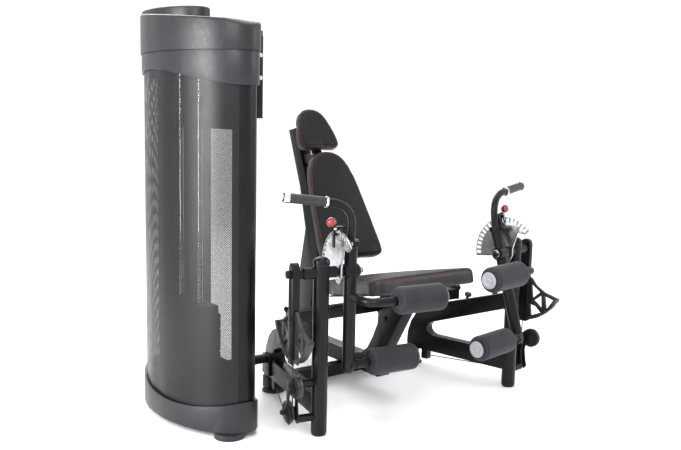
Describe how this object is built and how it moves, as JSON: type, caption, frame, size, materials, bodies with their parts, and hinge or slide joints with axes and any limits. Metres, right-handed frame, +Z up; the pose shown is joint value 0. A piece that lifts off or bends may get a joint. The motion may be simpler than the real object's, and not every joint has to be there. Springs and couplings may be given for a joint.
{
  "type": "leg extension machine",
  "caption": "Seated leg extension machine: toed-in side frames, swinging padded arms with notched start plates, reclined seat and a curved weight tower.",
  "frame": {"origin": "on the floor, under the middle of the whole machine", "axes": "-Y is the way the user faces, +X is the user's left, +Z is up; the weight tower stands at -X"},
  "size_m": [1.6178, 1.2718, 1.568],
  "materials": {
    "black_paint": "satin black powder coat",
    "zinc": "bright zinc plate",
    "chrome": "polished",
    "black_plastic": "satin moulded",
    "grey_cover": "dark grey fine texture",
    "mesh_sheet": "perforated sheet, satin black",
    "cast_plate": "painted casting",
    "vinyl": "fine grain upholstery vinyl, dark red thread",
    "foam": "skinned foam sleeve",
    "grip_rubber": "smooth grip rubber",
    "foot_rubber": "moulded rubber",
    "cable": "nylon coated steel cable",
    "red_ball": "glossy red ball",
    "pin_handle": "glossy black knob on a steel pin"
  },
  "bodies": {
    "frame": {"right_post": "black_paint", "right_side_frame": "black_paint", "right_pulley_bracket": "black_paint", "right_drive_cable": "cable", "left_post": "black_paint", "left_side_frame": "black_paint", "left_pulley_bracket": "black_paint", "left_drive_cable": "cable", "spine_beam": "black_paint", "seat_column": "black_paint", "seat_cross_tube": "black_paint", "rear_foot_beam": "black_paint", "back_upright": "black_paint", "tower_edge_strap": "black_paint", "tower_tie": "black_paint", "right_levelling_foot": "foot_rubber", "left_levelling_foot": "foot_rubber", "seat_pad": "vinyl", "backrest_pad": "vinyl", "headrest_pad": "vinyl", "tower_base": "grey_cover", "tower_band": "grey_cover", "tower_cap": "grey_cover", "tower_shroud": "mesh_sheet", "resting_weight_plates": "cast_plate", "front_guide_rod": "chrome", "rear_guide_rod": "chrome", "stack_cable": "cable"},
    "right_drive": {"right_drive_shaft": "black_paint", "right_drive_lever": "black_paint", "right_cable_cam": "black_plastic", "right_range_plate": "zinc"},
    "right_arm": {"right_arm_tube": "black_paint", "right_handle_tube": "black_paint", "right_handle_grip": "grip_rubber", "right_upper_roller_axle": "black_paint", "right_lower_roller_axle": "black_paint"},
    "right_lock_pin": {"right_pin_lever": "black_paint", "right_pin_knob": "red_ball"},
    "right_upper_pad_roller": {"right_upper_roller": "foam"},
    "right_lower_pad_roller": {"right_lower_roller": "foam"},
    "right_upper_pulley": {"right_guide_pulley": "black_plastic"},
    "right_bottom_pulley": {"right_low_pulley": "black_plastic"},
    "left_drive": {"left_drive_shaft": "black_paint", "left_drive_lever": "black_paint", "left_cable_cam": "black_plastic", "left_range_plate": "zinc"},
    "left_arm": {"left_arm_tube": "black_paint", "left_handle_tube": "black_paint", "left_handle_grip": "grip_rubber", "left_upper_roller_axle": "black_paint", "left_lower_roller_axle": "black_paint"},
    "left_lock_pin": {"left_pin_lever": "black_paint", "left_pin_knob": "red_ball"},
    "left_upper_pad_roller": {"left_upper_roller": "foam"},
    "left_lower_pad_roller": {"left_lower_roller": "foam"},
    "left_upper_pulley": {"left_guide_pulley": "black_plastic"},
    "left_bottom_pulley": {"left_low_pulley": "black_plastic"},
    "weight_carriage": {"picked_weight_plates": "cast_plate"},
    "weight_selector": {"selector_pin": "pin_handle"}
  },
  "joints": [
    {"name": "right_leg_swing", "type": "hinge", "parent": "frame", "child": "right_drive", "pos_m": [-0.37093, -0.35213, 0.614], "axis": [-0.9781, 0.2079, 0], "range_deg": [0, 70]},
    {"name": "right_start_angle", "type": "hinge", "parent": "right_drive", "child": "right_arm", "pos_m": [-0.27312, -0.37292, 0.614], "axis": [-0.9781, 0.2079, 0], "range_deg": [-40, 64]},
    {"name": "right_pin_release", "type": "hinge", "parent": "right_arm", "child": "right_lock_pin", "pos_m": [-0.32545, -0.3618, 0.774], "axis": [0.2079, 0.9781, 0], "range_deg": [0, 26], "stiffness_Nm_per_rad": 0.8, "springref_deg": -20.05},
    {"name": "right_upper_roller_spin", "type": "hinge", "parent": "right_arm", "child": "right_upper_pad_roller", "pos_m": [-0.0695, -0.5549, 0.522], "axis": [0.9925, -0.1219, 0], "continuous": true},
    {"name": "right_lower_roller_spin", "type": "hinge", "parent": "right_arm", "child": "right_lower_pad_roller", "pos_m": [-0.07265, -0.41098, 0.257], "axis": [0.9925, -0.1219, 0], "continuous": true},
    {"name": "right_upper_pulley_spin", "type": "hinge", "parent": "frame", "child": "right_upper_pulley", "pos_m": [-0.48348, -0.37421, 0.209], "axis": [-0.9781, 0.2079, 0], "range_deg": [-540, 540]},
    {"name": "right_bottom_pulley_spin", "type": "hinge", "parent": "frame", "child": "right_bottom_pulley", "pos_m": [-0.46519, -0.28814, 0.087], "axis": [-0.9781, 0.2079, 0], "range_deg": [-540, 540]},
    {"name": "left_leg_swing", "type": "hinge", "parent": "frame", "child": "left_drive", "pos_m": [0.65907, -0.35213, 0.614], "axis": [-0.9781, -0.2079, 0], "range_deg": [0, 70]},
    {"name": "left_start_angle", "type": "hinge", "parent": "left_drive", "child": "left_arm", "pos_m": [0.56125, -0.37292, 0.614], "axis": [-0.9781, -0.2079, 0], "range_deg": [-56, 48]},
    {"name": "left_pin_release", "type": "hinge", "parent": "left_arm", "child": "left_lock_pin", "pos_m": [0.60442, -0.31866, 0.7678], "axis": [0.1999, -0.9403, 0.2756], "range_deg": [0, 26], "stiffness_Nm_per_rad": 0.8, "springref_deg": -20.05},
    {"name": "left_upper_roller_spin", "type": "hinge", "parent": "left_arm", "child": "left_upper_pad_roller", "pos_m": [0.36182, -0.57456, 0.56296], "axis": [-0.9918, -0.1252, -0.024], "continuous": true},
    {"name": "left_lower_roller_spin", "type": "hinge", "parent": "left_arm", "child": "left_lower_pad_roller", "pos_m": [0.38128, -0.50741, 0.2696], "axis": [-0.9918, -0.1252, -0.024], "continuous": true},
    {"name": "left_upper_pulley_spin", "type": "hinge", "parent": "frame", "child": "left_upper_pulley", "pos_m": [0.77162, -0.37421, 0.209], "axis": [-0.9781, -0.2079, 0], "range_deg": [-540, 540]},
    {"name": "left_bottom_pulley_spin", "type": "hinge", "parent": "frame", "child": "left_bottom_pulley", "pos_m": [0.75332, -0.28814, 0.087], "axis": [-0.9781, -0.2079, 0], "range_deg": [-540, 540]},
    {"name": "weight_lift", "type": "slide", "parent": "frame", "child": "weight_carriage", "axis": [0, 0, 1], "range_m": [0, 0.37]},
    {"name": "selector_pull", "type": "slide", "parent": "weight_carriage", "child": "weight_selector", "axis": [1, 0, 0], "range_m": [0, 0.09]}
  ],
  "couplings": [
    {"joint": "right_upper_pulley_spin", "follows": "right_leg_swing", "ratio": -7.3},
    {"joint": "right_bottom_pulley_spin", "follows": "right_leg_swing", "ratio": 7.3},
    {"joint": "left_upper_pulley_spin", "follows": "left_leg_swing", "ratio": -7.3},
    {"joint": "left_bottom_pulley_spin", "follows": "left_leg_swing", "ratio": 7.3},
    {"joint": "weight_lift", "follows": "right_leg_swing", "m_per_rad": 0.3}
  ]
}
